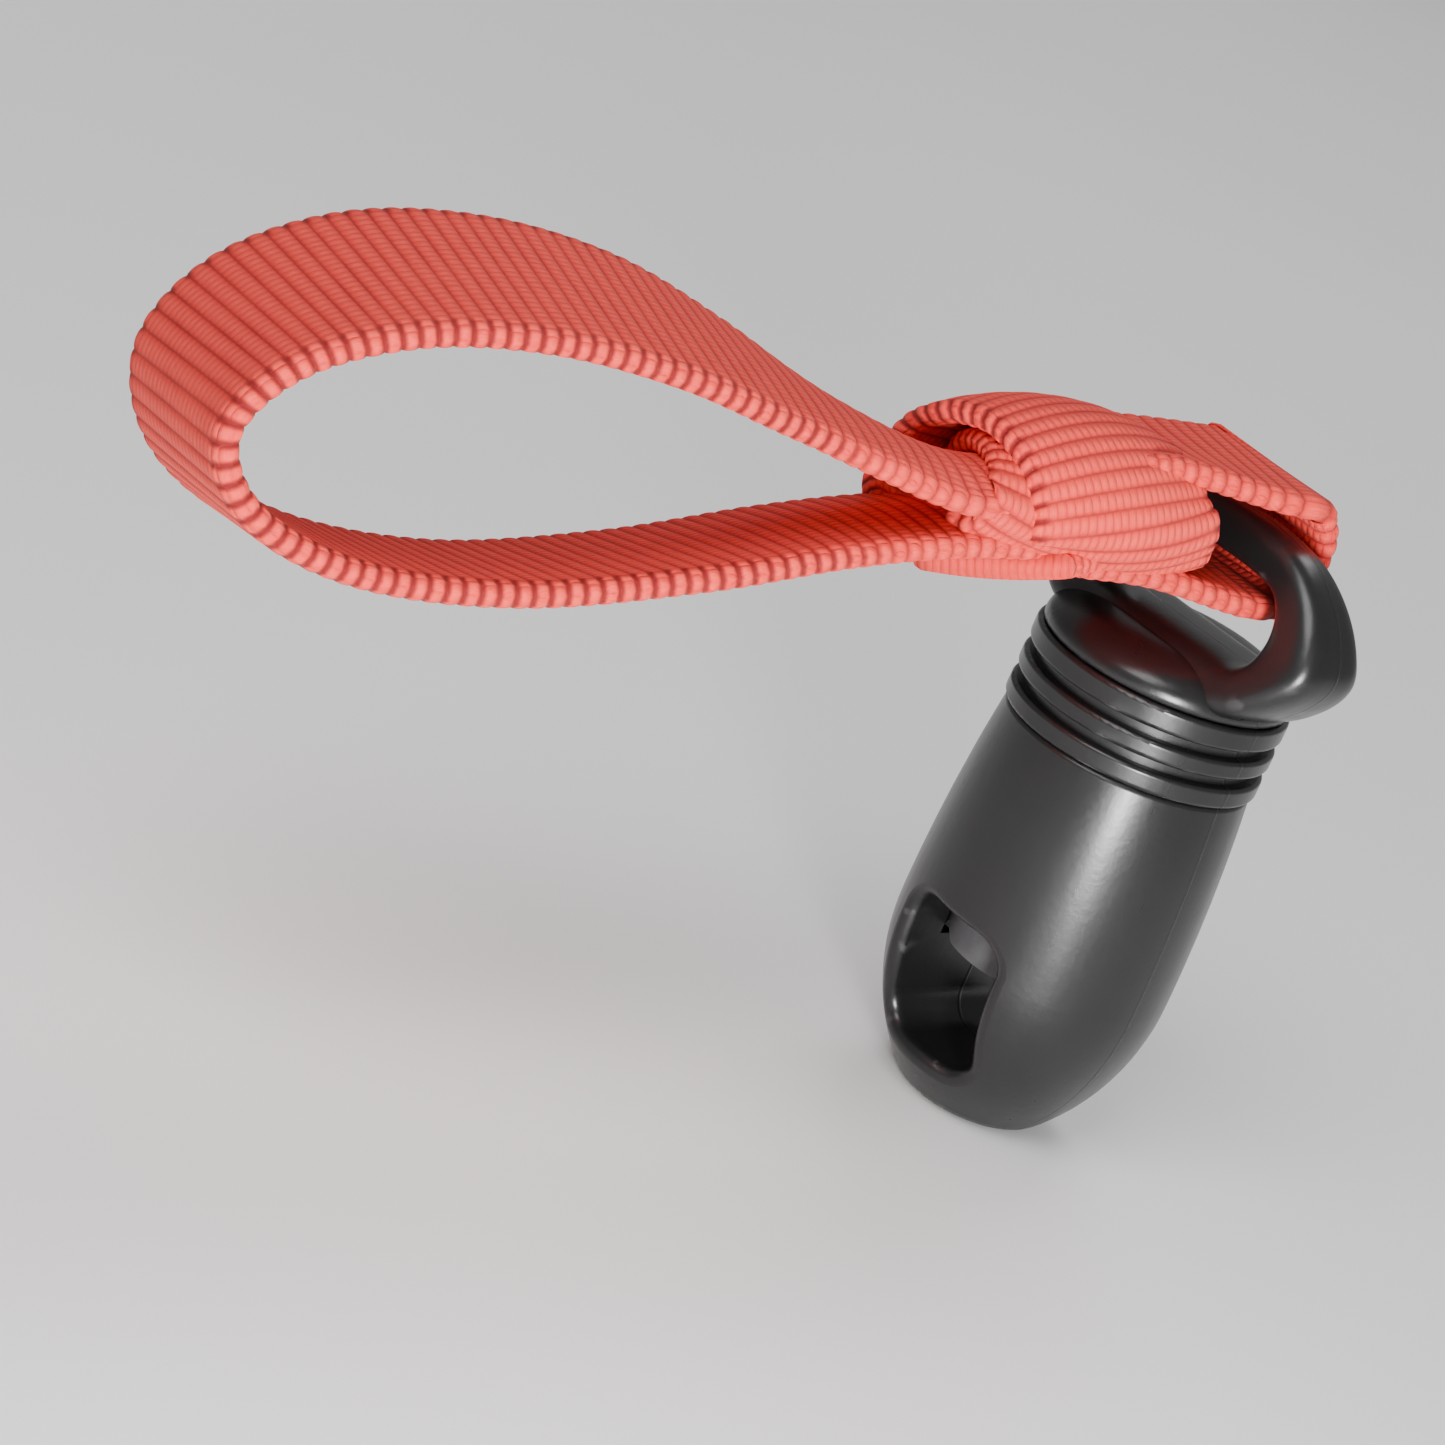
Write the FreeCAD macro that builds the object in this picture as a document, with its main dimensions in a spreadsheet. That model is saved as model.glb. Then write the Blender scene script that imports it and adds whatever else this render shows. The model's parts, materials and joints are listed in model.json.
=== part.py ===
import FreeCAD, Part
import os
import re

import Sketcher

# A pull-to-release cord lock. +Z runs along the barrel towards the pull hoop, X runs along the cord passage,
# and the origin is the centre of that passage. All sizes are in millimetres.
DIMENSIONS = {
    # housing: the outside of the barrel
    "base_drop": 6.2,
    "foot_radius": 3.4,
    "foot_rounding": 1.3,
    "belly_radius": 6.7,
    "belly_height": 2.0,
    "lower_flank_radius": 11.84,
    "upper_flank_radius": 86.8,
    "neck_radius": 6.0,
    "neck_rounding": 0.3,
    "housing_top": 13.0,
    # housing: cord passage, bore, keyway and snap seat
    "passage_half_width": 2.8,
    "passage_half_height": 3.6,
    "passage_corner": 1.5,
    "passage_rim": 0.5,
    "bore_radius": 4.3,
    "bore_floor": 0.9,
    "keyway_reach": 4.95,
    "keyway_half_width": 0.8,
    "seat_radius": 4.9,
    "seat_floor": 10.9,
    "snap_radius": 5.2,
    "snap_low": 11.5,
    "snap_high": 12.4,
    # retaining collar
    "plug_radius": 4.87,
    "plug_floor": 11.0,
    "bead_radius": 5.1,
    "bead_low": 11.7,
    "bead_high": 12.2,
    "collar_radius": 6.2,
    "collar_top": 17.0,
    "ring_rounding": 0.22,
    "ring_groove_floor": 5.65,
    "ring_groove_low": 14.0,
    "ring_groove_high": 14.5,
    "ring_groove_pitch": 1.4,
    "guide_radius": 1.88,
    "spring_well_radius": 3.75,
    # locking piston
    "piston_radius": 4.22,
    "piston_face": 1.2,
    "piston_top": 5.0,
    "key_reach": 4.87,
    "key_half_width": 0.72,
    "socket_radius": 1.84,
    "socket_floor": 2.5,
    "catch_radius": 2.2,
    "catch_top": 3.5,
    "tooth_gap_half": 0.55,
    "tooth_depth": 0.6,
    "tooth_pitch": 1.7,
    "tooth_gap_first": 3.4,
    "tooth_gap_count": 5,
    # pull hoop with its stem
    "stem_radius": 1.8,
    "stem_tip": 2.6,
    "barb_nose": 1.4,
    "barb_radius": 2.15,
    "barb_low": 3.1,
    "barb_top": 3.4,
    "hoop_base": 17.05,
    "flange_radius": 6.0,
    "flange_edge": 17.35,
    "flange_dome_radius": 4.0,
    "flange_top_radius": 3.0,
    "flange_top": 18.9,
    "hoop_base_half": 5.6,
    "hoop_flare_radius": 5.0,
    "hoop_half_width": 8.8,
    "hoop_widest": 20.6,
    "hoop_shoulder_radius": 6.5,
    "hoop_top_half": 3.4,
    "hoop_top": 25.4,
    "hoop_base_half_depth": 3.2,
    "hoop_top_half_depth": 1.1,
    "eye_rounding": 0.8,
    "eye_half_width": 5.4,
    "eye_floor": 19.4,
    "eye_top": 23.3,
    "eye_corner": 1.2,
    "cut_margin": 1.0,
    # return spring
    "spring_wire": 0.5,
    "spring_mean_radius": 3.05,
    "spring_coils": 5.0,
    "spring_top": 12.98,
    "spring_seat_gap": 0.02,
    # pull webbing, measured from the centre of the hoop's bar
    "bar_height": 24.35,
    "wrap_inner_radius": 2.0,
    "wrap_outer_radius": 3.15,
    "wrap_width": 8.0,
    "throat_start": 2.0,
    "throat_length": 4.5,
    "throat_height": 4.2,
    "webbing_width": 10.0,
    "knot_start": 4.2,
    "knot_end": 16.8,
    "knot_half_height": 4.2,
    "knot_width": 12.4,
    "knot_corner": 2.6,
    "knot_rounding": 2.2,
    "loop_root": 12.5,
    "loop_root_half": 1.1,
    "loop_belly": 37.0,
    "loop_belly_half": 6.75,
    "loop_strand_radius": 75.0,
    "loop_nose": 48.2,
    "loop_nose_half": 4.7,
    "loop_nose_radius": 31.0,
    "loop_tip": 51.6,
    "loop_tip_radius": 5.3,
    "loop_fork": 16.0,
    "loop_inner_belly_half": 5.6,
    "loop_inner_strand_radius": 74.0,
    "loop_inner_nose": 47.6,
    "loop_inner_nose_half": 3.75,
    "loop_inner_nose_radius": 30.0,
    "loop_inner_tip": 50.45,
    "loop_inner_tip_radius": 4.2,
    "loop_yaw": 12.0,
    "loop_droop": 4.0,
    "loop_tilt": 8.0,
}

doc = FreeCAD.newDocument("CordLock")
sheet = doc.addObject("Spreadsheet::Sheet", "Dims")
for row, (alias, size) in enumerate(DIMENSIONS.items(), start=1):
    sheet.set("A%d" % row, alias)
    sheet.set("B%d" % row, str(size))
    sheet.setAlias("B%d" % row, alias)
doc.recompute()


def value(expression):
    """The number that a sum of signed cell names stands for."""
    total = 0.0
    for term in expression.replace("+ ", "").replace("- ", "-").split():
        if term != "0":
            sign = -1.0 if term.startswith("-") else 1.0
            total += sign * sheet.get(term.lstrip("-"))
    return total


def bound(expression):
    """The same sum, written so that an expression reads the sheet's cells."""
    return re.sub(r"[a-z_]+", lambda name: "Dims." + name.group(), expression)


def new_body(name):
    body = doc.addObject("PartDesign::Body", name)
    body.Label = name
    return body


def origin_plane(body, role):
    return next(item for item in body.Origin.OriginFeatures if item.Role == role)


def arc_between(start, end, radius):
    """The short arc from start to end that bulges to the right of the way from one to the other."""
    chord = end - start
    to_right = FreeCAD.Vector(chord.y, -chord.x, 0).normalize()
    middle = (start + end) * 0.5
    rise = radius - (radius ** 2 - (chord.Length / 2) ** 2) ** 0.5
    return Part.Arc(start, middle + to_right * rise, end)


def end_at(sketch, index, point):
    """Which end of a sketch edge, 1 or 2, lies at the point."""
    return min((1, 2), key=lambda end: (sketch.getPoint(index, end) - point).Length)


def pin(sketch, index, end, kind, expression):
    """Ties one coordinate of an edge's end to the sheet."""
    if expression == "0":
        axis = -2 if kind == "DistanceX" else -1
        sketch.addConstraint(Sketcher.Constraint("PointOnObject", index, end, axis))
    else:
        constraint = Sketcher.Constraint(kind, -1, 1, index, end, value(expression))
        number = sketch.addConstraint(constraint)
        sketch.setExpression("Constraints[%d]" % number, bound(expression))


def draw_outline(sketch, corners):
    """One closed outline. A corner is (x, y), or (x, y, radius) where an arc leads to the next corner."""
    first = sketch.GeometryCount
    points = [FreeCAD.Vector(value(corner[0]), value(corner[1]), 0) for corner in corners]
    for number, corner in enumerate(corners):
        start, end = points[number], points[(number + 1) % len(points)]
        if len(corner) == 3:
            edge = sketch.addGeometry(arc_between(start, end, value(corner[2])))
            constraint = Sketcher.Constraint("Radius", edge, value(corner[2]))
            radius = sketch.addConstraint(constraint)
            sketch.setExpression("Constraints[%d]" % radius, bound(corner[2]))
        else:
            sketch.addGeometry(Part.LineSegment(start, end))
    for number, corner in enumerate(corners):
        here = first + number
        before = first + (number - 1) % len(corners)
        start = end_at(sketch, here, points[number])
        close = end_at(sketch, before, points[number])
        sketch.addConstraint(Sketcher.Constraint("Coincident", before, close, here, start))
        pin(sketch, here, start, "DistanceX", corner[0])
        pin(sketch, here, start, "DistanceY", corner[1])


def new_sketch(body, name, role, outlines, height=None):
    """A sketch on one of the body's own planes, raised by the height where one is given."""
    sketch = body.newObject("Sketcher::SketchObject", name)
    sketch.AttachmentSupport = (origin_plane(body, role), [""])
    sketch.MapMode = "FlatFace"
    if height:
        sketch.setExpression(".AttachmentOffset.Base.z", bound(height))
    for corners in outlines:
        draw_outline(sketch, corners)
    doc.recompute()
    return sketch


def rectangle(left, right, bottom, top):
    return [(left, bottom), (right, bottom), (right, top), (left, top)]


def rounded_rectangle(left, right, bottom, top, corner):
    return [
        (right + " - " + corner, bottom, corner),
        (right, bottom + " + " + corner),
        (right, top + " - " + corner, corner),
        (right + " - " + corner, top),
        (left + " + " + corner, top, corner),
        (left, top + " - " + corner),
        (left, bottom + " + " + corner, corner),
        (left + " + " + corner, bottom),
    ]


def turn(body, kind, name, outline):
    """A Revolution or Groove of a half section about the Z axis."""
    sketch = new_sketch(body, name + "Section", "XZ_Plane", [outline])
    feature = body.newObject("PartDesign::" + kind, name)
    feature.Profile = sketch
    feature.ReferenceAxis = (sketch, ["V_Axis"])
    feature.Angle = 360
    doc.recompute()
    return feature


def extrude(body, kind, name, sketch, length, symmetric=False):
    """A Pad or Pocket whose length comes from the sheet, or a Pocket through everything."""
    feature = body.newObject("PartDesign::" + kind, name)
    feature.Profile = sketch
    if length:
        feature.setExpression("Length", bound(length))
    else:
        feature.Type = "ThroughAll"
    if symmetric:
        feature.SideType = "Symmetric"
    doc.recompute()
    return feature


def fillet(body, name, base, edges, radius):
    """Rounds the numbered edges of the body's last feature."""
    feature = body.newObject("PartDesign::Fillet", name)
    feature.Base = (base, ["Edge%d" % number for number in edges])
    feature.setExpression("Radius", bound(radius))
    doc.recompute()
    return feature


def edges_where(shape, test):
    return [number for number, edge in enumerate(shape.Edges, start=1) if test(edge)]


def is_ring_at(edge, radius, height):
    """Whether an edge is a circle about the Z axis with this radius at this height."""
    curve = edge.Curve
    return (
        isinstance(curve, Part.Circle)
        and abs(curve.Radius - radius) < 0.01
        and abs(curve.Center.z - height) < 0.01
    )


def cut_volume(before, after, what):
    """Stops if a cutting feature removed nothing."""
    if after.Shape.Volume > before.Shape.Volume - 0.01:
        raise RuntimeError(what + " removes nothing")


# Housing: a round barrel, closed and rounded in at its foot, with the cord passage across it.
housing = new_body("housing")
barrel = turn(housing, "Revolution", "Barrel", [
    ("0", "-base_drop"),
    ("foot_radius", "-base_drop", "lower_flank_radius"),
    ("belly_radius", "belly_height", "upper_flank_radius"),
    ("neck_radius", "housing_top"),
    ("0", "housing_top"),
])
foot_edges = edges_where(
    barrel.Shape, lambda edge: is_ring_at(edge, value("foot_radius"), value("-base_drop")))
foot = fillet(housing, "FootRounding", barrel, foot_edges, "foot_rounding")
neck_edges = edges_where(
    foot.Shape, lambda edge: is_ring_at(edge, value("neck_radius"), value("housing_top")))
neck = fillet(housing, "NeckRounding", foot, neck_edges, "neck_rounding")
passage_section = new_sketch(housing, "PassageSection", "YZ_Plane", [rounded_rectangle(
    "-passage_half_width", "passage_half_width", "-passage_half_height", "passage_half_height",
    "passage_corner")])
passage = extrude(housing, "Pocket", "CordPassage", passage_section, None, symmetric=True)
cut_volume(neck, passage, "the cord passage")
rim_edges = edges_where(
    passage.Shape,
    lambda edge: abs(edge.CenterOfMass.x) > value("foot_radius")
    and abs(edge.CenterOfMass.y) < value("passage_half_width") + 0.01
    and edge.BoundBox.XLength < value("passage_corner"))
rims = fillet(housing, "PassageRims", passage, rim_edges, "passage_rim")
bore = turn(housing, "Groove", "Bore", [
    ("0", "bore_floor"),
    ("bore_radius", "bore_floor"),
    ("bore_radius", "seat_floor"),
    ("seat_radius", "seat_floor"),
    ("seat_radius", "snap_low"),
    ("snap_radius", "snap_low"),
    ("snap_radius", "snap_high"),
    ("seat_radius", "snap_high"),
    ("seat_radius", "housing_top"),
    ("0", "housing_top"),
])
cut_volume(rims, bore, "the bore")
keyway_section = new_sketch(housing, "KeywaySection", "XY_Plane", [rectangle(
    "-keyway_half_width", "keyway_half_width", "-keyway_reach", "keyway_reach")], "housing_top")
keyway = extrude(housing, "Pocket", "Keyway", keyway_section, "housing_top - bore_floor")
cut_volume(bore, keyway, "the keyway")

# Retaining collar: a ridged ring whose plug snaps into the housing's mouth and holds the spring down.
collar = new_body("retaining_collar")
ring = turn(collar, "Revolution", "Ring", [
    ("guide_radius", "spring_top + spring_seat_gap"),
    ("spring_well_radius", "spring_top + spring_seat_gap"),
    ("spring_well_radius", "plug_floor"),
    ("plug_radius", "plug_floor"),
    ("plug_radius", "bead_low"),
    ("bead_radius", "bead_high"),
    ("plug_radius", "bead_high"),
    ("plug_radius", "housing_top"),
    ("collar_radius", "housing_top"),
    ("collar_radius", "collar_top"),
    ("guide_radius", "collar_top"),
])
ring_groove = turn(collar, "Groove", "RingGroove", [
    ("ring_groove_floor", "ring_groove_low"),
    ("collar_radius + cut_margin", "ring_groove_low"),
    ("collar_radius + cut_margin", "ring_groove_high"),
    ("ring_groove_floor", "ring_groove_high"),
])
cut_volume(ring, ring_groove, "the ring groove")
ring_grooves = collar.newObject("PartDesign::LinearPattern", "RingGrooves")
ring_grooves.Originals = [ring_groove]
ring_grooves.Direction = (ring_groove.Profile[0], ["V_Axis"])
ring_grooves.setExpression("Length", bound("ring_groove_pitch"))
ring_grooves.Occurrences = 2
collar.Tip = ring_grooves
doc.recompute()
cut_volume(ring_groove, ring_grooves, "the second ring groove")
ridge_edges = edges_where(
    ring_grooves.Shape,
    lambda edge: isinstance(edge.Curve, Part.Circle)
    and abs(edge.Curve.Radius - value("collar_radius")) < 0.01)
fillet(collar, "RidgeRounding", ring_grooves, ridge_edges, "ring_rounding")

# Locking piston: a keyed, toothed block that presses the cords against the passage's floor.
piston = new_body("locking_piston")
piston_blank = turn(piston, "Revolution", "PistonBlank", [
    ("0", "piston_face"),
    ("piston_radius", "piston_face"),
    ("piston_radius", "piston_top"),
    ("0", "piston_top"),
])
key_section = new_sketch(piston, "KeySection", "XY_Plane", [rectangle(
    "-key_half_width", "key_half_width", "-key_reach", "key_reach")], "piston_face")
keys = extrude(piston, "Pad", "Keys", key_section, "piston_top - piston_face")
socket = turn(piston, "Groove", "StemSocket", [
    ("0", "socket_floor"),
    ("catch_radius", "socket_floor"),
    ("catch_radius", "catch_top"),
    ("socket_radius", "catch_top"),
    ("socket_radius", "piston_top"),
    ("0", "piston_top"),
])
cut_volume(keys, socket, "the stem socket")
tooth_section = new_sketch(piston, "ToothGapSection", "XZ_Plane", [[
    ("-tooth_gap_first - tooth_gap_half", "piston_face"),
    ("-tooth_gap_first + tooth_gap_half", "piston_face"),
    ("-tooth_gap_first", "piston_face + tooth_depth"),
]])
tooth_gap = extrude(piston, "Pocket", "ToothGap", tooth_section, None, symmetric=True)
cut_volume(socket, tooth_gap, "the first tooth gap")
tooth_gaps = piston.newObject("PartDesign::LinearPattern", "ToothGaps")
tooth_gaps.Originals = [tooth_gap]
tooth_gaps.Direction = (tooth_section, ["H_Axis"])
tooth_gaps.setExpression("Length", "Dims.tooth_pitch * (Dims.tooth_gap_count - 1)")
tooth_gaps.setExpression("Occurrences", "Dims.tooth_gap_count")
piston.Tip = tooth_gaps
doc.recompute()
cut_volume(tooth_gap, tooth_gaps, "the row of tooth gaps")

# Pull hoop: the hoop, its domed flange and the stem that snaps into the piston, moulded in one.
hoop = new_body("pull_hoop")
hoop_face = new_sketch(hoop, "HoopFace", "YZ_Plane", [
    [
        ("hoop_base_half", "hoop_base", "hoop_flare_radius"),
        ("hoop_half_width", "hoop_widest", "hoop_shoulder_radius"),
        ("hoop_top_half", "hoop_top"),
        ("-hoop_top_half", "hoop_top", "hoop_shoulder_radius"),
        ("-hoop_half_width", "hoop_widest", "hoop_flare_radius"),
        ("-hoop_base_half", "hoop_base"),
    ],
    rounded_rectangle("-eye_half_width", "eye_half_width", "eye_floor", "eye_top", "eye_corner"),
])
hoop_blank = extrude(
    hoop, "Pad", "HoopBlank", hoop_face, "hoop_base_half_depth + hoop_base_half_depth", symmetric=True)
taper_half = [
    ("hoop_base_half_depth", "hoop_base"),
    ("hoop_base_half_depth + cut_margin", "hoop_base"),
    ("hoop_base_half_depth + cut_margin", "hoop_top"),
    ("hoop_top_half_depth", "hoop_top"),
]
taper_other_half = [("-" + x.replace(" + ", " - "), height) for x, height in reversed(taper_half)]
taper_section = new_sketch(hoop, "TaperSection", "XZ_Plane", [taper_half, taper_other_half])
taper = extrude(hoop, "Pocket", "Taper", taper_section, None, symmetric=True)
cut_volume(hoop_blank, taper, "the hoop's taper")
eye_edges = edges_where(
    taper.Shape,
    lambda edge: edge.BoundBox.XMin * edge.BoundBox.XMax > 0
    and abs(edge.CenterOfMass.y) < value("eye_half_width") + 0.01
    and value("eye_floor") - 0.01 < edge.CenterOfMass.z < value("eye_top") + 0.01)
fillet(hoop, "EyeRounding", taper, eye_edges, "eye_rounding")
turn(hoop, "Revolution", "StemAndFlange", [
    ("0", "stem_tip"),
    ("barb_nose", "stem_tip"),
    ("barb_radius", "barb_low"),
    ("barb_radius", "barb_top"),
    ("stem_radius", "barb_top"),
    ("stem_radius", "hoop_base"),
    ("flange_radius", "hoop_base"),
    ("flange_radius", "flange_edge", "flange_dome_radius"),
    ("flange_top_radius", "flange_top"),
    ("0", "flange_top"),
])

# Return spring: it pushes the piston down from the collar.
coil_line = doc.addObject("Part::Helix", "CoilLine")
coil_line.setExpression("Radius", "Dims.spring_mean_radius")
spring_rise = "Dims.spring_top - Dims.piston_top - Dims.spring_seat_gap - Dims.spring_wire"
coil_line.setExpression("Height", spring_rise)
coil_line.setExpression("Pitch", "(" + spring_rise + ") / Dims.spring_coils")
coil_start = value("piston_top + spring_seat_gap") + value("spring_wire") / 2
coil_line.Placement = FreeCAD.Placement(FreeCAD.Vector(0, 0, coil_start), FreeCAD.Rotation())
wire_section = doc.addObject("Part::Circle", "WireSection")
wire_section.setExpression("Radius", "Dims.spring_wire / 2")
wire_section.Placement = FreeCAD.Placement(
    FreeCAD.Vector(value("spring_mean_radius"), 0, coil_start),
    FreeCAD.Rotation(FreeCAD.Vector(1, 0, 0), 90))
spring = doc.addObject("Part::Sweep", "return_spring")
spring.Sections = [wire_section]
spring.Spine = coil_line
spring.Solid = True
spring.Frenet = True

# Pull webbing: one strip round the hoop's bar, knotted beside it and left as a finger loop.
bar_centre = FreeCAD.Vector(0, 0, value("bar_height"))
across_bar = FreeCAD.Rotation(FreeCAD.Vector(1, 0, 0), -90)


def bar_cylinder(name, radius):
    """A cylinder about the hoop's bar, as long as the wrap is wide."""
    cylinder = doc.addObject("Part::Cylinder", name)
    cylinder.setExpression("Radius", bound(radius))
    cylinder.setExpression("Height", "Dims.wrap_width")
    half_width = FreeCAD.Vector(0, value("wrap_width") / 2, 0)
    cylinder.Placement = FreeCAD.Placement(bar_centre - half_width, across_bar)
    return cylinder


wrap = doc.addObject("Part::Cut", "BarWrap")
wrap.Base = bar_cylinder("WrapOutside", "wrap_outer_radius")
wrap.Tool = bar_cylinder("WrapInside", "wrap_inner_radius")
throat = doc.addObject("Part::Box", "Throat")
throat.setExpression("Length", "Dims.throat_length")
throat.setExpression("Width", "Dims.wrap_width")
throat.setExpression("Height", "Dims.throat_height")
throat.Placement = FreeCAD.Placement(
    bar_centre - FreeCAD.Vector(
        value("throat_start + throat_length"), value("wrap_width") / 2, value("throat_height") / 2),
    FreeCAD.Rotation())

finger_loop = new_body("FingerLoop")
loop_section = new_sketch(finger_loop, "LoopSection", "XZ_Plane", [
    [
        ("-loop_root", "loop_root_half", "loop_strand_radius"),
        ("-loop_belly", "loop_belly_half", "loop_nose_radius"),
        ("-loop_nose", "loop_nose_half", "loop_tip_radius"),
        ("-loop_tip", "0", "loop_tip_radius"),
        ("-loop_nose", "-loop_nose_half", "loop_nose_radius"),
        ("-loop_belly", "-loop_belly_half", "loop_strand_radius"),
        ("-loop_root", "-loop_root_half"),
    ],
    [
        ("-loop_fork", "0", "loop_inner_strand_radius"),
        ("-loop_belly", "loop_inner_belly_half", "loop_inner_nose_radius"),
        ("-loop_inner_nose", "loop_inner_nose_half", "loop_inner_tip_radius"),
        ("-loop_inner_tip", "0", "loop_inner_tip_radius"),
        ("-loop_inner_nose", "-loop_inner_nose_half", "loop_inner_nose_radius"),
        ("-loop_belly", "-loop_inner_belly_half", "loop_inner_strand_radius"),
    ],
])
extrude(finger_loop, "Pad", "LoopBand", loop_section, "webbing_width", symmetric=True)
knot = new_body("Knot")
knot_section = new_sketch(knot, "KnotSection", "XZ_Plane", [rounded_rectangle(
    "-knot_end", "-knot_start", "-knot_half_height", "knot_half_height", "knot_corner")])
knot_blank = extrude(knot, "Pad", "KnotBlank", knot_section, "knot_width", symmetric=True)
knot_edges = edges_where(knot_blank.Shape, lambda edge: edge.BoundBox.YLength < 0.01)
fillet(knot, "KnotRounding", knot_blank, knot_edges, "knot_rounding")
loop_placement = FreeCAD.Placement(
    bar_centre, FreeCAD.Rotation(value("-loop_yaw"), value("-loop_droop"), value("-loop_tilt")))
finger_loop.Placement = loop_placement
knot.Placement = loop_placement
webbing = doc.addObject("Part::MultiFuse", "pull_webbing")
webbing.Shapes = [wrap, throat, finger_loop, knot]
doc.recompute()

SUB_PARTS = [housing, collar, piston, hoop, spring, webbing]
for item in doc.Objects:
    if "Invalid" in item.State or "Error" in item.State:
        raise RuntimeError(item.Label + " did not compute")
for item in SUB_PARTS:
    if item.Shape.isNull() or not item.Shape.isValid() or len(item.Shape.Solids) != 1:
        raise RuntimeError(item.Label + " is not one valid solid")

os.makedirs("parts", exist_ok=True)
for item in SUB_PARTS:
    item.Shape.exportStep("parts/%s.step" % item.Label)
    print(item.Label, "%.1f mm3" % item.Shape.Volume)
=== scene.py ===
import json
import math

import bpy
import numpy as np
from mathutils import Euler, Matrix, Vector


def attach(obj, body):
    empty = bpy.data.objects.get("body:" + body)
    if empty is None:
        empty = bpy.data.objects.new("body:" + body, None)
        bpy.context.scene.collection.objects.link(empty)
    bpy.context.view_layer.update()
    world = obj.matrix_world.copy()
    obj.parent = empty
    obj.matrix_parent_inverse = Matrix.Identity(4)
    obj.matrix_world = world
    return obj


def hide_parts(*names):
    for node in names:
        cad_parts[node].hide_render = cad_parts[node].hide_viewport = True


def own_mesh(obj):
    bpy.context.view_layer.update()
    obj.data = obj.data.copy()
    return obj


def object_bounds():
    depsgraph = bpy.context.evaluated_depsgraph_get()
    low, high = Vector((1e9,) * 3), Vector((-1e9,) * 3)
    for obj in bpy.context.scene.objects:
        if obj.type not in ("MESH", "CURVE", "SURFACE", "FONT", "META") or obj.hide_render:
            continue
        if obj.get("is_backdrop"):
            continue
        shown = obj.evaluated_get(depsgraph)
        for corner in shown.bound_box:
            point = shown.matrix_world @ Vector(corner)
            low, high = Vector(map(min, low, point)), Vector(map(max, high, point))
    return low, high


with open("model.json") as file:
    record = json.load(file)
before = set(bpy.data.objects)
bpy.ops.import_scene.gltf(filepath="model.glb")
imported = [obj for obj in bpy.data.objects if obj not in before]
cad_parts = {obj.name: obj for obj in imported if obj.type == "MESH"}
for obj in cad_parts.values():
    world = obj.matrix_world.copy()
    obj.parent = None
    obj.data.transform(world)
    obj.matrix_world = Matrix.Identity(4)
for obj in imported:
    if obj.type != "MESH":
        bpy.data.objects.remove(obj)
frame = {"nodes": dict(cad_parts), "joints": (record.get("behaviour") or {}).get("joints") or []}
cad_low, cad_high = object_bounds()

MM = 0.001
CAMERA_AZIMUTH = math.radians(-48)
CAMERA_ELEVATION = math.radians(20)
CAMERA_ROLL = math.radians(23)
CAMERA_LENS = 100
CAMERA_CLOSER = 0.84
CAMERA_CLIP = 0.01

# The finger loop's turns about the hoop's bar, the same as in the CAD part.
LOOP_YAW = math.radians(-12)
LOOP_DROOP = math.radians(-4)
LOOP_TILT = math.radians(-8)

WEBBING_WIDTH = 10.0
WEBBING_THICKNESS = 1.15
RIB_PITCH = 0.78
STATIONS_PER_RIB = 7
RIB_DEPTH = 0.11
EDGE_NOTCH = 0.05

CROWN_POWER = 0.6
CUT_REACH = 4.0
YARNS_PER_MM = 2.6
SELVEDGE_WIDTH = 0.95
SELVEDGE_FADE = 0.60

# The strip's turn round the bar: its radius in millimetres, its angles in degrees.
WRAP_RADIUS = 2.6
WRAP_FROM = 100
WRAP_TO = -100
WRAP_STEP = -40

# A knot turn has a row about every so many degrees. It is tucked in towards the strands over the first and
# last of its TUCK_PARTS equal parts.
KNOT_ROW_DEGREES = 30
TUCK_DEPTH = 0.38
TUCK_PARTS = 6

swing = next(joint for joint in frame["joints"] if joint["name"] == "loop_swing")
bar_centre = Vector(swing["pos_m"]) / MM
loop_turn = Euler((LOOP_TILT, LOOP_DROOP, LOOP_YAW), "XYZ").to_matrix()


# ---------------------------------------------------------------- materials

BLACK = (0.006, 0.006, 0.0062)
BLACK_RUBBED = (0.060, 0.060, 0.062)
PISTON_BLACK = (0.030, 0.030, 0.033)
PISTON_RUBBED = (0.13, 0.13, 0.13)
STEEL_DARK = (0.42, 0.41, 0.40)
STEEL_BRIGHT = (0.66, 0.66, 0.67)
# The webbing's painted light: a darker red is painted shade in the rib valleys, and a brighter red is a
# painted highlight on the rib crowns.
RED_PAINTED_SHADE = (0.27, 0.008, 0.009)
RED = (0.70, 0.026, 0.022)
RED_PAINTED_HIGHLIGHT = (0.88, 0.060, 0.046)
RED_FIBRE = (0.46, 0.014, 0.012)
RED_PATCH = (0.90, 0.055, 0.034)
RED_SELVEDGE = (0.20, 0.005, 0.006)
RED_SHEEN = (1.0, 0.40, 0.30)
FLOOR_DARK = (0.80, 0.795, 0.785)
FLOOR_BRIGHT = (0.84, 0.835, 0.825)
SKY = (0.93, 0.94, 0.96)
SKY_STRENGTH = 0.34
FLOOR_SIZE = 6.0
# Scales of the plastic's noises, and the parting line's inner and outer half width, per metre and in metres.
FLOW_SCALE = 260.0
GRAIN_SCALE = 3200.0
STREAK_SCALE = 1500.0
PARTING_LINE = (0.00004, 0.00011)


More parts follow.
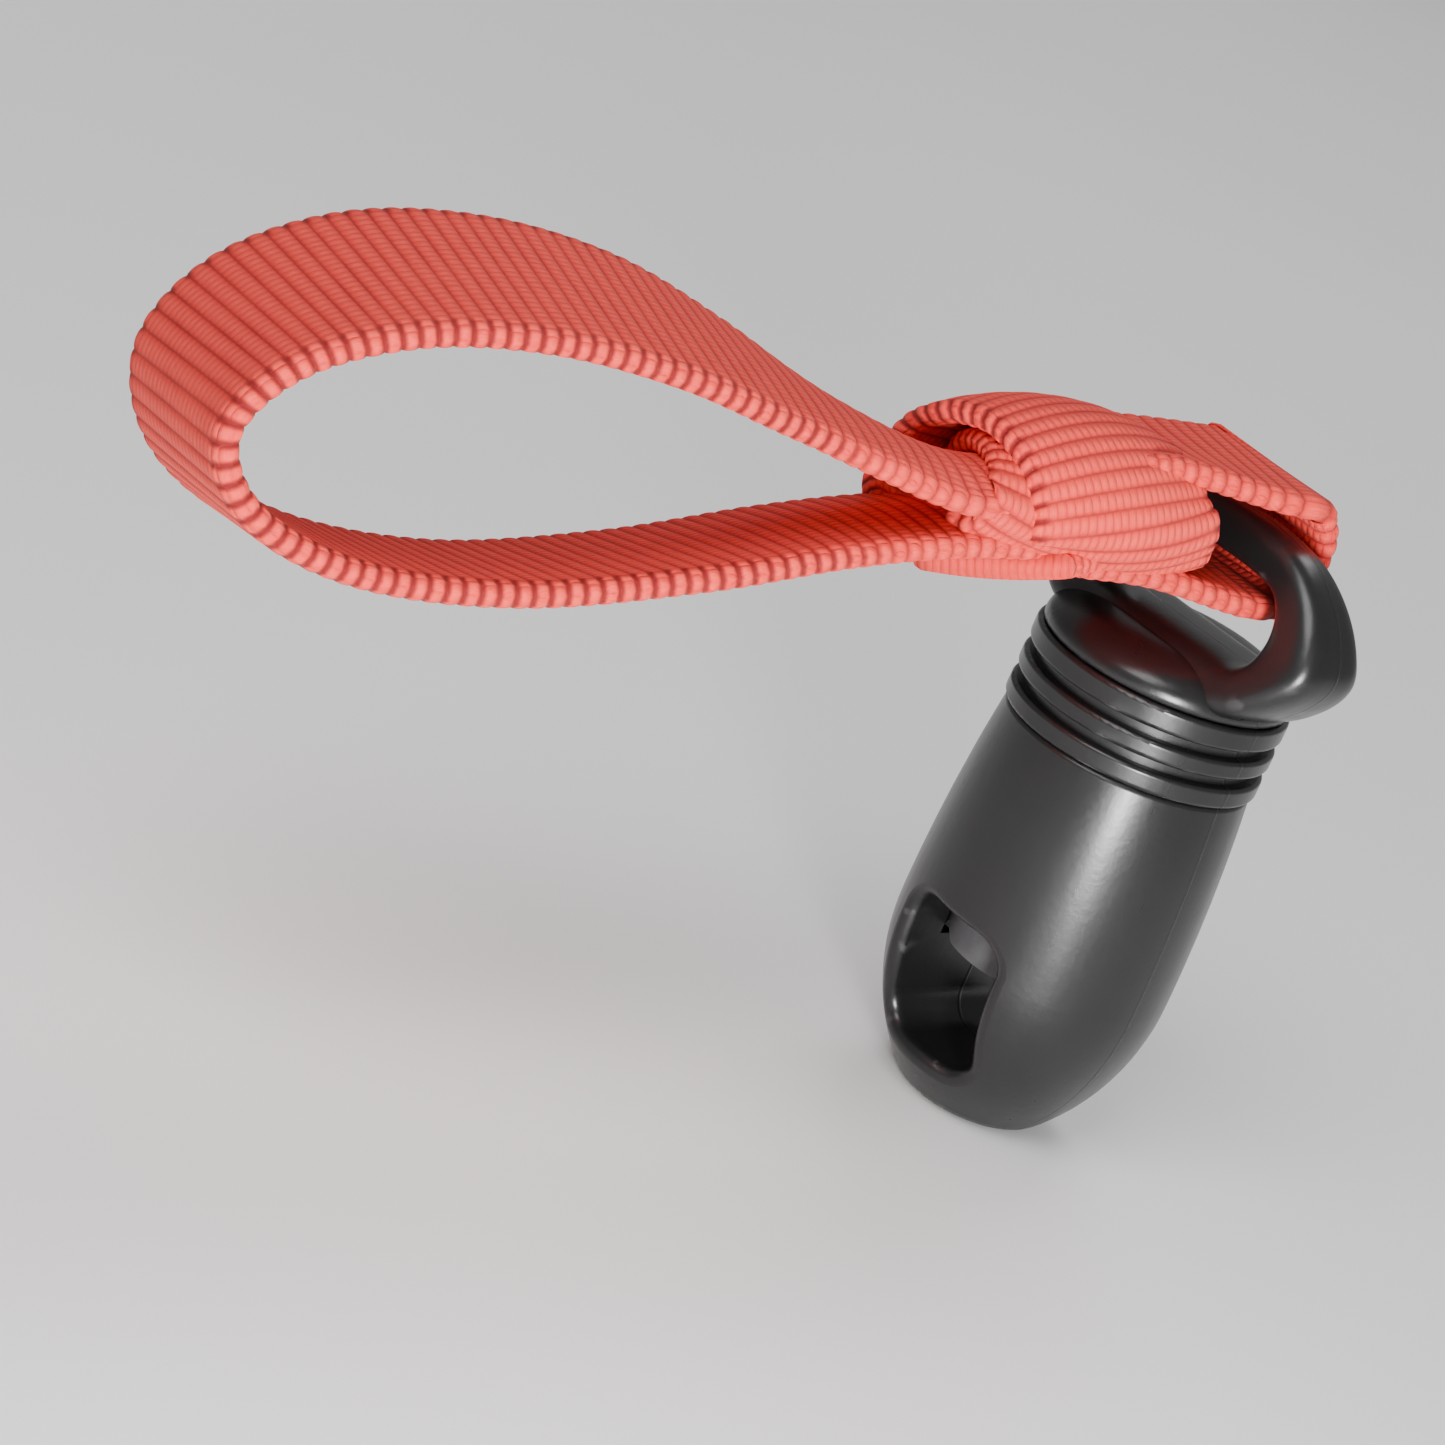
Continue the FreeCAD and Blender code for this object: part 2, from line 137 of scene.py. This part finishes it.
class Nodes:
    """A material's node tree, with short calls that add and join nodes."""

    def __init__(self, name):
        self.material = bpy.data.materials.new(name)
        self.material.use_nodes = True
        self.tree = self.material.node_tree
        self.shader = self.tree.nodes["Principled BSDF"]

    def add(self, kind, **settings):
        node = self.tree.nodes.new(kind)
        for key, setting in settings.items():
            setattr(node, key, setting)
        return node

    def join(self, source, target):
        self.tree.links.new(source, target)

    def coordinates(self, kind="Object"):
        return self.add("ShaderNodeTexCoord").outputs[kind]

    def noise(self, vector, scale, detail=2.0, roughness=0.5):
        node = self.add("ShaderNodeTexNoise")
        node.inputs["Scale"].default_value = scale
        node.inputs["Detail"].default_value = detail
        node.inputs["Roughness"].default_value = roughness
        self.join(vector, node.inputs["Vector"])
        return node.outputs["Fac"]

    def stretch(self, vector, scale):
        node = self.add("ShaderNodeMapping")
        node.inputs["Scale"].default_value = scale
        self.join(vector, node.inputs["Vector"])
        return node.outputs["Vector"]

    def ramp(self, factor, stops):
        node = self.add("ShaderNodeValToRGB")
        elements = node.color_ramp.elements
        while len(elements) < len(stops):
            elements.new(0.5)
        for element, (place, colour) in zip(elements, stops):
            element.position = place
            element.color = (*colour, 1.0)
        self.join(factor, node.inputs["Fac"])
        return node.outputs["Color"]

    def remap(self, factor, low, high, from_low=0.0, from_high=1.0):
        node = self.add("ShaderNodeMapRange")
        node.inputs["From Min"].default_value = from_low
        node.inputs["From Max"].default_value = from_high
        node.inputs["To Min"].default_value = low
        node.inputs["To Max"].default_value = high
        self.join(factor, node.inputs["Value"])
        return node.outputs["Result"]

    def calculate(self, operation, first, second=None):
        node = self.add("ShaderNodeMath", operation=operation)
        for socket, term in zip(node.inputs, (first, second)):
            if isinstance(term, (int, float)):
                socket.default_value = term
            elif term is not None:
                self.join(term, socket)
        return node.outputs["Value"]

    def mix(self, factor, first, second):
        node = self.add("ShaderNodeMix", data_type="RGBA")
        for socket, term in ((node.inputs[0], factor), (node.inputs[6], first), (node.inputs[7], second)):
            if isinstance(term, tuple):
                socket.default_value = (*term, 1.0)
            else:
                self.join(term, socket)
        return node.outputs[2]

    def bump(self, height, distance, strength=1.0):
        node = self.add("ShaderNodeBump")
        node.inputs["Strength"].default_value = strength
        node.inputs["Distance"].default_value = distance
        self.join(height, node.inputs["Height"])
        self.join(node.outputs["Normal"], self.shader.inputs["Normal"])

    def set(self, **values):
        for key, number in values.items():
            self.shader.inputs[key.replace("_", " ")].default_value = number


def moulded_plastic(name, dark, pale, roughness, grain):
    """Satin injection moulding: a faint grain, soft flow marks, dust-pale rubbed edges, a parting line."""
    made = Nodes(name)
    place = made.coordinates()
    flow = made.noise(place, FLOW_SCALE, 3.0)
    fine = made.noise(place, GRAIN_SCALE, 2.0)
    streaks = made.noise(made.stretch(place, (1.0, 1.0, 0.12)), STREAK_SCALE, 2.0)
    worn = made.add("ShaderNodeNewGeometry").outputs["Pointiness"]
    rubbed = made.remap(worn, 0.0, 1.0, 0.54, 0.66)
    patchy = made.calculate("MULTIPLY", rubbed, made.remap(flow, 0.2, 1.0, 0.35, 0.65))
    base = made.mix(flow, dark, tuple(1.35 * channel for channel in dark))
    made.join(made.mix(patchy, base, pale), made.shader.inputs["Base Color"])
    uneven = made.calculate("ADD", made.remap(streaks, -0.05, 0.07), made.remap(flow, -0.03, 0.04))
    made.join(made.calculate("ADD", uneven, roughness), made.shader.inputs["Roughness"])
    across = made.add("ShaderNodeSeparateXYZ")
    made.join(place, across.inputs["Vector"])
    seam = made.calculate("ABSOLUTE", across.outputs["X"])
    ridge = made.remap(seam, 1.0, 0.0, *PARTING_LINE)
    grainy = made.calculate("MULTIPLY", fine, grain)
    made.bump(made.calculate("ADD", grainy, made.calculate("MULTIPLY", ridge, 0.35)), 0.00006)
    made.set(IOR=1.49)
    return made.material


def spring_steel(name):
    """Drawn wire: bright metal with streaks and a trace of oil."""
    made = Nodes(name)
    place = made.coordinates()
    streaks = made.noise(made.stretch(place, (1.0, 1.0, 9.0)), 1800.0, 3.0)
    colour = made.ramp(streaks, [(0.3, STEEL_DARK), (0.7, STEEL_BRIGHT)])
    made.join(colour, made.shader.inputs["Base Color"])
    made.join(made.remap(streaks, 0.22, 0.42), made.shader.inputs["Roughness"])
    made.bump(streaks, 0.00001, 0.6)
    made.set(Metallic=1.0)
    return made.material


def grosgrain(name):
    """Ribbed red webbing. Its UVs are ribs along the strip and millimetres across it."""
    made = Nodes(name)
    place = made.coordinates("UV")
    split = made.add("ShaderNodeSeparateXYZ")
    made.join(place, split.inputs["Vector"])
    ribs, across = split.outputs["X"], split.outputs["Y"]
    # Each rib is a row of short warp floats, and every second rib is shifted by half a float.
    turn = made.calculate("MULTIPLY", ribs, math.pi)
    crown = made.calculate("ABSOLUTE", made.calculate("SINE", turn))
    row = made.calculate("FLOOR", ribs)
    shift = made.calculate("MULTIPLY", made.calculate("MODULO", row, 2.0), 0.5)
    yarn_place = made.calculate("ADD", made.calculate("MULTIPLY", across, YARNS_PER_MM), shift)
    yarn = made.calculate("ABSOLUTE", made.calculate("SINE", made.calculate("MULTIPLY", yarn_place, math.pi)))
    grain_place = made.add("ShaderNodeCombineXYZ")
    made.join(made.calculate("MULTIPLY", ribs, 0.6), grain_place.inputs["X"])
    made.join(made.calculate("MULTIPLY", across, 9.0), grain_place.inputs["Y"])
    fibres = made.noise(grain_place.outputs["Vector"], 3.0, 3.0, 0.65)
    patches = made.noise(place, 0.35, 2.0)
    height = made.calculate("MULTIPLY", made.calculate("POWER", yarn, 0.6), crown)
    height = made.calculate("ADD", height, made.calculate("MULTIPLY", fibres, 0.45))
    made.bump(height, 0.00011, 0.85)
    # Painted light: rib crowns and yarn tops get a brighter red as a painted highlight, and the valleys
    # between ribs and yarns get a darker red as painted shade.
    lit = made.calculate("MULTIPLY", made.calculate("POWER", crown, 0.7), made.remap(yarn, 0.62, 1.0))
    colour = made.ramp(lit, [(0.08, RED_PAINTED_SHADE), (0.50, RED), (1.0, RED_PAINTED_HIGHLIGHT)])
    colour = made.mix(made.remap(fibres, 0.0, 0.40, 0.4, 0.75), colour, RED_FIBRE)
    colour = made.mix(made.remap(patches, 0.0, 0.20, 0.35, 0.75), colour, RED_PATCH)
    edge = made.calculate("ABSOLUTE", across)
    half = WEBBING_WIDTH / 2
    selvedge = made.remap(edge, 0.0, 1.0, half - SELVEDGE_WIDTH, half - SELVEDGE_FADE)
    dots = made.calculate("MULTIPLY", selvedge, made.remap(crown, 1.0, 0.05, 0.30, 0.80))
    colour = made.mix(dots, colour, RED_SELVEDGE)
    made.join(colour, made.shader.inputs["Base Color"])
    made.join(made.remap(fibres, 0.68, 0.86), made.shader.inputs["Roughness"])
    made.set(Sheen_Weight=0.12, Sheen_Roughness=0.5, Sheen_Tint=(*RED_SHEEN, 1.0))
    made.set(Specular_IOR_Level=0.3)
    return made.material


def pale_floor(name):
    made = Nodes(name)
    place = made.coordinates()
    cloud = made.noise(place, 6.0, 3.0)
    colour = made.ramp(cloud, [(0.3, FLOOR_DARK), (0.7, FLOOR_BRIGHT)])
    made.join(colour, made.shader.inputs["Base Color"])
    made.join(made.remap(cloud, 0.55, 0.65), made.shader.inputs["Roughness"])
    return made.material


black = moulded_plastic("black_moulding", dark=BLACK, pale=BLACK_RUBBED, roughness=0.29, grain=0.10)
piston_black = moulded_plastic(
    "piston_moulding", dark=PISTON_BLACK, pale=PISTON_RUBBED, roughness=0.5, grain=0.3)
wire = spring_steel("spring_wire")
red_webbing = grosgrain("red_webbing")


# ---------------------------------------------------------------- mesh helpers

def new_object(name, points, faces, material, uvs=None):
    """A mesh object from points in millimetres. uvs holds one pair per point of the faces, in their order."""
    mesh = bpy.data.meshes.new(name)
    mesh.from_pydata([tuple(value * MM for value in point) for point in points], [], faces)
    if uvs is not None:
        layer = mesh.uv_layers.new(name="UVMap")
        layer.data.foreach_set("uv", np.asarray(uvs, np.float32).ravel())
    mesh.polygons.foreach_set("use_smooth", [True] * len(mesh.polygons))
    mesh.materials.append(material)
    thing = bpy.data.objects.new(name, mesh)
    bpy.context.scene.collection.objects.link(thing)
    return thing


def through(rows, steps=24):
    """A smooth run of rows that passes through each of the given rows (Catmull-Rom)."""
    rows = np.asarray(rows, float)
    padded = np.vstack([2 * rows[0] - rows[1], rows, 2 * rows[-1] - rows[-2]])
    t = np.linspace(0, 1, steps, endpoint=False)[:, None]
    spans = []
    for a, b, c, d in zip(padded, padded[1:], padded[2:], padded[3:]):
        spans.append(0.5 * (2 * b + (c - a) * t + (2 * a - 5 * b + 4 * c - d) * t ** 2
                            + (3 * b - 3 * c + d - a) * t ** 3))
    return np.vstack(spans + [rows[-1:]])


def even_steps(rows, step):
    """The same run, cut into equal steps of its first three columns."""
    gaps = np.linalg.norm(np.diff(rows[:, :3], axis=0), axis=1)
    along = np.concatenate([[0], np.cumsum(gaps)])
    count = max(2, round(along[-1] / step))
    places = np.linspace(0, along[-1], count + 1)
    columns = [np.interp(places, along, column) for column in rows.T]
    return np.stack(columns, axis=1), places


def unit(rows):
    return rows / np.linalg.norm(rows, axis=1, keepdims=True)


FACE_STEPS = 16
EDGE_STEPS = 4


def band_section():
    """Points round a flat band's section: place across from -1 to 1, edge's arc, height from -1 to 1."""
    flat = np.linspace(-1, 1, FACE_STEPS + 1)
    arc = np.linspace(-math.pi / 2, math.pi / 2, EDGE_STEPS + 1)[1:-1]
    points = [(x, 0.0, -1.0) for x in flat]
    points += [(1.0, math.cos(angle), math.sin(angle)) for angle in arc]
    points += [(x, 0.0, 1.0) for x in flat[::-1]]
    points += [(-1.0, -math.cos(angle), math.sin(angle)) for angle in arc[::-1]]
    return np.array(points)


def webbing(name, route, cut_start=0.0, cut_end=0.0):
    """A ribbed strip along a route. Each row is place (3), direction across (3), width, cup.

    The cup lifts the edges by that many millimetres. The cuts slant the two ends.
    """
    rows, along = even_steps(through(route), RIB_PITCH / STATIONS_PER_RIB)
    place = rows[:, 0:3]
    tangent = unit(np.gradient(place, axis=0))
    across = rows[:, 3:6]
    across = unit(across - tangent * np.sum(across * tangent, axis=1, keepdims=True))
    normal = np.cross(tangent, across)
    width, cup = rows[:, 6], rows[:, 7]
    section = band_section()
    ribs = along / RIB_PITCH
    crown = np.abs(np.sin(math.pi * ribs)) ** CROWN_POWER
    half_thick = WEBBING_THICKNESS / 2 * (1 - RIB_DEPTH * (1 - crown))
    half_flat = width / 2 - WEBBING_THICKNESS / 2 - EDGE_NOTCH * (1 - crown)
    points, uvs = [], []
    total = along[-1]
    for number in range(len(along)):
        side = section[:, 0] * half_flat[number] + section[:, 1] * half_thick[number]
        lift = section[:, 2] * half_thick[number] + cup[number] * section[:, 0] ** 2
        from_end = total - along[number]
        slant = cut_start * section[:, 0] * max(0.0, 1 - along[number] / CUT_REACH)
        slant += cut_end * section[:, 0] * max(0.0, 1 - from_end / CUT_REACH)
        points.append(place[number] + side[:, None] * across[number]
                      + lift[:, None] * normal[number] + slant[:, None] * tangent[number])
        uvs.append(np.stack([np.full(len(section), ribs[number]), side], axis=1))
    points, uvs = np.vstack(points), np.vstack(uvs)
    around = len(section)
    faces = []
    for ring in range(len(along) - 1):
        for spot in range(around):
            after = (spot + 1) % around
            faces.append((ring * around + spot, ring * around + after,
                          (ring + 1) * around + after, (ring + 1) * around + spot))
    last = (len(along) - 1) * around
    faces.append(tuple(range(around))[::-1])
    faces.append(tuple(range(last, last + around)))
    face_uvs = uvs[np.concatenate([np.array(face) for face in faces])]
    return new_object(name, points, faces, red_webbing, face_uvs)


def in_loop(along, across, up):
    """A place in the finger loop's own frame: along its heading, across the webbing, and up."""
    return bar_centre + loop_turn @ Vector((-along, across, up))


def loop_row(along, across, up, width=WEBBING_WIDTH, cup=0.0, twist=0.0):
    """A route row in the loop's frame, with the strip's width across it, turned by the twist in degrees."""
    turned = Matrix.Rotation(math.radians(twist), 3, "X") @ Vector((0, 1, 0))
    return [*in_loop(along, across, up), *(loop_turn @ turned), width, cup]


# ---------------------------------------------------------------- pull webbing

def finger_loop():
    """Both strands of the loop, from inside the knot round the tip and back."""
    return webbing("finger_loop_strap", [
        loop_row(8.5, -0.2, 0.9, 6.6, 0.5, 4),
        loop_row(13.0, -0.7, 1.0, 6.4, 0.7, 2),
        loop_row(17.0, -0.9, 1.15, 6.8, 0.7, 2),
        loop_row(21.5, -0.5, 2.2, 8.4, 0.4, 6),
        loop_row(26.5, -0.1, 3.75, 9.6, 0.15, 12),
        loop_row(32.0, 0.0, 5.25, 10.0, 0.0, 15),
        loop_row(38.0, 0.0, 5.95, 10.0, 0.0, 15),
        loop_row(43.8, 0.0, 5.40, 10.0, 0.0, 13),
        loop_row(48.6, 0.0, 3.30, 10.0, 0.0, 9),
        loop_row(50.9, 0.0, 0.0, 10.0, 0.0, 4),
        loop_row(49.2, 0.0, -3.4, 10.0, 0.0, -1),
        loop_row(44.2, 0.0, -5.6, 10.0, 0.0, -5),
        loop_row(37.0, 0.0, -6.0, 10.0, 0.0, -8),
        loop_row(29.0, 0.1, -4.75, 9.9, 0.0, -9),
        loop_row(22.0, 0.3, -2.85, 9.0, -0.2, -7),
        loop_row(17.0, 0.3, -1.65, 8.0, -0.4, -4),
        loop_row(13.0, 0.2, -1.15, 7.2, -0.5, -2),
        loop_row(8.5, 0.0, -1.0, 6.8, -0.4),
    ])


def bar_wrap():
    """The strip's turn round the hoop's bar, from the knot's top through the eye to its underside."""
    rows = [loop_row(10.0, 0.0, 2.1, 8.0, 0.3), loop_row(6.5, 0.0, 2.6, 7.8, 0.25)]
    for angle in range(WRAP_FROM, WRAP_TO - 1, WRAP_STEP):
        turned = math.radians(angle)
        spot = bar_centre + Vector((math.cos(turned), 0, math.sin(turned))) * WRAP_RADIUS
        rows.append([*spot, 0, 1, 0, 7.8, 0.0])
    rows += [loop_row(6.0, 0.0, -2.3, 7.8, -0.25), loop_row(10.0, 0.0, -2.2, 8.0, -0.3)]
    return webbing("bar_wrap_strap", rows)


def knot_turn(name, start, turn, radius_across, radius_up, from_along, to_along, width, cup):
    """One turn of the strip round the strands: an oval helix whose angles are in degrees."""
    rows = []
    steps = max(3, round(abs(turn) / KNOT_ROW_DEGREES))
    for step in range(steps + 1):
        share = step / steps
        angle = math.radians(start + turn * share)
        along = from_along + (to_along - from_along) * share
        tuck = 1 - TUCK_DEPTH * max(0.0, 1 - TUCK_PARTS * min(share, 1 - share))
        spot = in_loop(along, math.cos(angle) * radius_across * tuck, math.sin(angle) * radius_up * tuck)
        rows.append([*spot, *(loop_turn @ Vector((-1, 0, 0))), width, cup])
    return webbing(name, rows)


def knot():
    """The two turns round the strands, and the strip's cut end that stands out underneath."""
    outer = knot_turn(
        "knot_outer_turn", start=-95, turn=335, radius_across=4.7, radius_up=3.85,
        from_along=13.4, to_along=7.9, width=9.4, cup=0.75)
    inner = knot_turn(
        "knot_inner_turn", start=250, turn=-310, radius_across=3.7, radius_up=2.55,
        from_along=12.4, to_along=8.4, width=8.6, cup=-0.6)
    tail = webbing("knot_tail_end", [
        loop_row(7.0, -0.4, -1.7, 6.4, -0.3, -6),
        loop_row(9.2, -0.7, -2.2, 6.8, -0.3, -8),
        loop_row(11.3, -1.1, -2.6, 7.2, -0.3, -10),
        loop_row(13.2, -1.5, -2.9, 7.6, -0.2, -12),
    ], cut_end=1.2)
    return [outer, inner, tail]


webbing_pieces = [finger_loop(), bar_wrap(), *knot()]
for piece in webbing_pieces:
    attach(piece, "pull_tab")
    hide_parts("pull_webbing")


# ---------------------------------------------------------------- pull hoop

HOOP_STEPS = 8
SECTION_POINTS = 40
SECTION_POWER = 3.2
FOOT_HALF_DEPTH = 3.2
BAR_HALF_DEPTH = 1.1
# The flange's dome: its flat top's radius, how far it spreads from there, its rim's height and its rise.
DOME_TOP = 3.0
DOME_SPREAD = 3.0
DOME_RIM = 17.35
DOME_RISE = 1.5
DOME_TURNS = np.linspace(0, math.pi / 2, 12)
# Radius and height up the barbed foot, the shank and the flange's rim, then inside the hoop's own foot.
STEM_PROFILE = [
    (1.4, 2.6), (2.12, 3.05), (2.15, 3.1), (2.15, 3.38), (2.1, 3.4), (1.8, 3.42),
    (1.8, 17.03), (1.82, 17.05), (5.9, 17.05), (6.0, 17.12),
]
FLANGE_TOP = (1.0, 18.86)
# Outer and inner outline of the hoop's right half, from under the eye up to the bar: y, z, y, z.
HOOP_HALF = [
    (0.0, 17.05, 0.0, 19.40),
    (2.9, 17.05, 2.3, 19.40),
    (5.5, 17.20, 4.2, 19.45),
    (7.6, 18.75, 5.15, 20.00),
    (8.75, 20.60, 5.40, 20.90),
    (8.25, 22.30, 5.35, 21.75),
    (6.90, 23.85, 4.95, 22.60),
    (5.00, 24.95, 4.10, 23.15),
    (2.60, 25.40, 2.20, 23.30),
    (0.0, 25.40, 0.0, 23.30),
]


def signed_power(value, power):
    return math.copysign(abs(value) ** power, value)


def lathe(points, faces, profile, around=48):
    """Adds a turned shape about Z to the points and faces, from a profile of radius and height."""
    first = len(points)
    for radius, height in profile:
        for spot in range(around):
            angle = 2 * math.pi * spot / around
            points.append((radius * math.cos(angle), radius * math.sin(angle), height))
    for ring in range(len(profile) - 1):
        for spot in range(around):
            after = (spot + 1) % around
            low, high = first + ring * around, first + (ring + 1) * around
            faces.append((low + spot, low + after, high + after, high + spot))
    last = first + (len(profile) - 1) * around
    faces.append(tuple(range(first, first + around))[::-1])
    faces.append(tuple(range(last, last + around)))


def pull_hoop():
    """The hoop as a ring of rounded sections that thin towards the bar, with its barbed stem."""
    left = [(-row[0], row[1], -row[2], row[3]) for row in HOOP_HALF[-2:0:-1]]
    closed = HOOP_HALF + left
    wrapped = closed[-2:] + closed + closed[:3]
    rows = through(wrapped, HOOP_STEPS)[2 * HOOP_STEPS:(2 + len(closed)) * HOOP_STEPS]
    low_z, high_z = HOOP_HALF[0][1], HOOP_HALF[-1][1]
    points, faces = [], []
    for outer_y, outer_z, inner_y, inner_z in rows:
        for spot in range(SECTION_POINTS):
            angle = 2 * math.pi * spot / SECTION_POINTS
            out = (signed_power(math.cos(angle), 2 / SECTION_POWER) + 1) / 2
            y = inner_y + (outer_y - inner_y) * out
            z = inner_z + (outer_z - inner_z) * out
            half_depth = FOOT_HALF_DEPTH + (BAR_HALF_DEPTH - FOOT_HALF_DEPTH) * (z - low_z) / (high_z - low_z)
            points.append((half_depth * signed_power(math.sin(angle), 2 / SECTION_POWER), y, z))
    count = len(rows)
    for ring in range(count):
        for spot in range(SECTION_POINTS):
            after = (spot + 1) % SECTION_POINTS
            here, there = ring * SECTION_POINTS, (ring + 1) % count * SECTION_POINTS
            faces.append((here + spot, here + after, there + after, there + spot))
    dome = [
        (DOME_TOP + DOME_SPREAD * math.cos(turn), DOME_RIM + DOME_RISE * math.sin(turn))
        for turn in DOME_TURNS]
    lathe(points, faces, [*STEM_PROFILE, *dome, FLANGE_TOP])
    return new_object("hoop_moulding", points, faces, black)


hoop = pull_hoop()
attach(hoop, "plunger")
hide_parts("pull_hoop")


# ---------------------------------------------------------------- return spring

SPRING_TOP = 12.98
SPRING_FOOT = 5.02
SPRING_RADIUS = 3.05
SPRING_TURNS = 7.0
SPRING_CLOSED_TURNS = 1.0
RINGS_PER_TURN = 40
WIRE_RADIUS = 0.25
WIRE_POINTS = 12
WIRE_LIFT = 2.1 * WIRE_RADIUS


def return_spring():
    """A coil of drawn wire between the piston and the collar, with a closed turn at each end."""
    bottom, top = SPRING_FOOT + WIRE_RADIUS, SPRING_TOP - WIRE_RADIUS
    rings = round(SPRING_TURNS * RINGS_PER_TURN)
    centres = []
    for number in range(rings + 1):
        turn = number / RINGS_PER_TURN
        share = (turn - SPRING_CLOSED_TURNS) / (SPRING_TURNS - 2 * SPRING_CLOSED_TURNS)
        share = min(max(share, 0.0), 1.0)
        height = bottom + WIRE_LIFT * min(turn, SPRING_CLOSED_TURNS)
        height += ((top - bottom - 2 * WIRE_LIFT) * share
                   + WIRE_LIFT * max(0.0, turn - (SPRING_TURNS - SPRING_CLOSED_TURNS)))
        angle = 2 * math.pi * turn
        centres.append((SPRING_RADIUS * math.cos(angle), SPRING_RADIUS * math.sin(angle), height))
    centres = np.array(centres)
    tangent = unit(np.gradient(centres, axis=0))
    outward = unit(centres * [1, 1, 0])
    upward = np.cross(tangent, outward)
    points, faces = [], []
    for number in range(rings + 1):
        for spot in range(WIRE_POINTS):
            angle = 2 * math.pi * spot / WIRE_POINTS
            points.append(centres[number] + WIRE_RADIUS * (
                math.cos(angle) * outward[number] + math.sin(angle) * upward[number]))
    for ring in range(rings):
        for spot in range(WIRE_POINTS):
            after = (spot + 1) % WIRE_POINTS
            here, there = ring * WIRE_POINTS, (ring + 1) * WIRE_POINTS
            faces.append((here + spot, here + after, there + after, there + spot))
    faces.append(tuple(range(WIRE_POINTS))[::-1])
    faces.append(tuple(range(rings * WIRE_POINTS, (rings + 1) * WIRE_POINTS)))
    return new_object("spring_coil", points, faces, wire)


spring = return_spring()
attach(spring, "barrel")
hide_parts("return_spring")
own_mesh(spring)


# ---------------------------------------------------------------- pieces that keep their CAD meshes

for node, material in (
    ("housing", black),
    ("retaining_collar", black),
    ("locking_piston", piston_black),
):
    thing = frame["nodes"][node]
    thing.data.materials.clear()
    thing.data.materials.append(material)


# ---------------------------------------------------------------- stage, lights and camera

low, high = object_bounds()
centre = (low + high) / 2
reach = (high - low).length / 2

bpy.ops.mesh.primitive_plane_add(size=FLOOR_SIZE, location=(centre.x, centre.y, cad_low.z))
floor = bpy.context.object
floor.name = "floor"
floor.data.materials.append(pale_floor("pale_floor"))
floor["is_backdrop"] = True


def soft_light(name, azimuth, elevation, distance, width, height, power):
    """An area light that faces the object from a direction given in degrees."""
    turn, rise = math.radians(azimuth), math.radians(elevation)
    away = Vector((math.sin(turn) * math.cos(rise), -math.cos(turn) * math.cos(rise), math.sin(rise)))
    lamp = bpy.data.lights.new(name, "AREA")
    lamp.shape = "RECTANGLE"
    lamp.size = width
    lamp.size_y = height
    lamp.energy = power
    thing = bpy.data.objects.new(name, lamp)
    thing.location = centre + away * distance
    thing.rotation_euler = (-away).to_track_quat("-Z", "Y").to_euler()
    thing.visible_camera = False
    bpy.context.scene.collection.objects.link(thing)


soft_light("key_light", azimuth=-75, elevation=52, distance=0.5, width=0.30, height=0.30, power=2.0)
soft_light("strip_light", azimuth=-27, elevation=-1, distance=0.12, width=0.022, height=0.05, power=0.42)
soft_light("back_light", azimuth=120, elevation=50, distance=0.6, width=0.30, height=0.30, power=1.2)

world = bpy.data.worlds.new("soft_studio")
world.use_nodes = True
world.node_tree.nodes["Background"].inputs["Color"].default_value = (*SKY, 1.0)
world.node_tree.nodes["Background"].inputs["Strength"].default_value = SKY_STRENGTH
bpy.context.scene.world = world

back = Vector((
    math.sin(CAMERA_AZIMUTH) * math.cos(CAMERA_ELEVATION),
    -math.cos(CAMERA_AZIMUTH) * math.cos(CAMERA_ELEVATION),
    math.sin(CAMERA_ELEVATION)))
camera_data = bpy.data.cameras.new("camera")
camera_data.lens = CAMERA_LENS
half_view = math.atan(camera_data.sensor_width / 2 / CAMERA_LENS)
camera = bpy.data.objects.new("camera", camera_data)
camera.location = centre + back * (CAMERA_CLOSER * reach / math.sin(half_view))
facing = (-back).to_track_quat("-Z", "Y").to_matrix()
camera.rotation_euler = (facing @ Matrix.Rotation(CAMERA_ROLL, 3, "Z")).to_euler()
camera_data.clip_start = CAMERA_CLIP
bpy.context.scene.collection.objects.link(camera)
bpy.context.scene.camera = camera

low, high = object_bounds()
